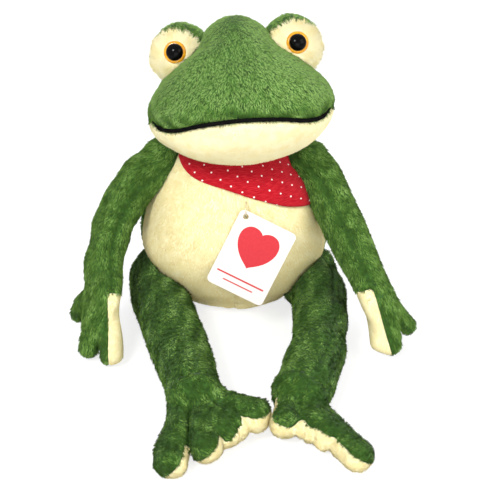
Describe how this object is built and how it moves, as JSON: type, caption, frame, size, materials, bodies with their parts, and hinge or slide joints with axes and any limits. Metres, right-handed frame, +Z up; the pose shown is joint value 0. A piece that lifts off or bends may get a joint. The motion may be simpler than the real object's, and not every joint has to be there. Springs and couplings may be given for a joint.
{
  "type": "plush frog",
  "caption": "Seated stuffed plush frog with floppy arms and legs, glossy safety eyes, a dotted neckerchief and a blank card tag.",
  "frame": {"origin": "middle of the flat under the seat, on the surface it sits on", "axes": "the frog faces -Y, its left side is +X, +Z up"},
  "size_m": [0.2274, 0.2672, 0.2028],
  "materials": {
    "green_plush": "short streaky green plush pile",
    "cream_plush": "short smooth cream plush pile",
    "black_piping": "soft black piping",
    "red_cotton": "plain weave red cotton with small white dots",
    "stuffing": "loose polyester fibre",
    "pellets": "bag of plastic pellets",
    "pupil_gloss": "glossy black moulded plastic",
    "iris_amber": "glossy amber moulded plastic",
    "washer_plastic": "natural moulded plastic",
    "tag_card": "smooth white card",
    "nylon": "clear nylon filament",
    "label_tape": "woven white satin tape"
  },
  "bodies": {
    "torso": {"back_cover": "green_plush", "belly_cover": "cream_plush", "seat_pellet_bag": "pellets", "body_stuffing": "stuffing", "neckerchief": "red_cotton", "neckerchief_knot": "red_cotton", "tag_loop": "nylon", "care_label": "label_tape"},
    "head": {"head_cover": "green_plush", "jaw_cover": "cream_plush", "mouth_piping": "black_piping", "right_eye_pupil": "pupil_gloss", "right_eye_iris": "iris_amber", "right_eye_washer": "washer_plastic", "right_eye_hood": "green_plush", "right_eye_patch": "cream_plush", "left_eye_pupil": "pupil_gloss", "left_eye_iris": "iris_amber", "left_eye_washer": "washer_plastic", "left_eye_hood": "green_plush", "left_eye_patch": "cream_plush", "head_stuffing": "stuffing"},
    "right_arm": {"right_arm_cover": "green_plush", "right_palm": "cream_plush", "right_arm_stuffing": "stuffing"},
    "left_arm": {"left_arm_cover": "green_plush", "left_palm": "cream_plush", "left_arm_stuffing": "stuffing"},
    "right_leg": {"right_leg_cover": "green_plush", "right_foot_top": "green_plush", "right_sole": "cream_plush", "right_leg_stuffing": "stuffing"},
    "left_leg": {"left_leg_cover": "green_plush", "left_foot_top": "green_plush", "left_sole": "cream_plush", "left_leg_stuffing": "stuffing"},
    "tag": {"hang_tag": "tag_card"}
  },
  "joints": [
    {"name": "right_shoulder", "type": "hinge", "parent": "torso", "child": "right_arm", "pos_m": [-0.0468, 0.008, 0.1], "axis": [1, 0, 0], "range_deg": [-60, 40]},
    {"name": "left_shoulder", "type": "hinge", "parent": "torso", "child": "left_arm", "pos_m": [0.0468, 0.008, 0.1], "axis": [1, 0, 0], "range_deg": [-60, 40]},
    {"name": "right_hip", "type": "hinge", "parent": "torso", "child": "right_leg", "pos_m": [-0.0492, -0.006, 0.02], "axis": [1, 0, 0], "range_deg": [-25, 15]},
    {"name": "left_hip", "type": "hinge", "parent": "torso", "child": "left_leg", "pos_m": [0.0492, -0.006, 0.02], "axis": [1, 0, 0], "range_deg": [-25, 15]},
    {"name": "neck_turn", "type": "hinge", "parent": "torso", "child": "head", "pos_m": [0, 0.01458, 0.118], "axis": [0, 0.1392, 0.9903], "range_deg": [-25, 25]},
    {"name": "tag_swing", "type": "hinge", "parent": "torso", "child": "tag", "pos_m": [0.0084, -0.03869, 0.083], "axis": [0, -0.9455, 0.3256], "range_deg": [-25, 25]}
  ]
}
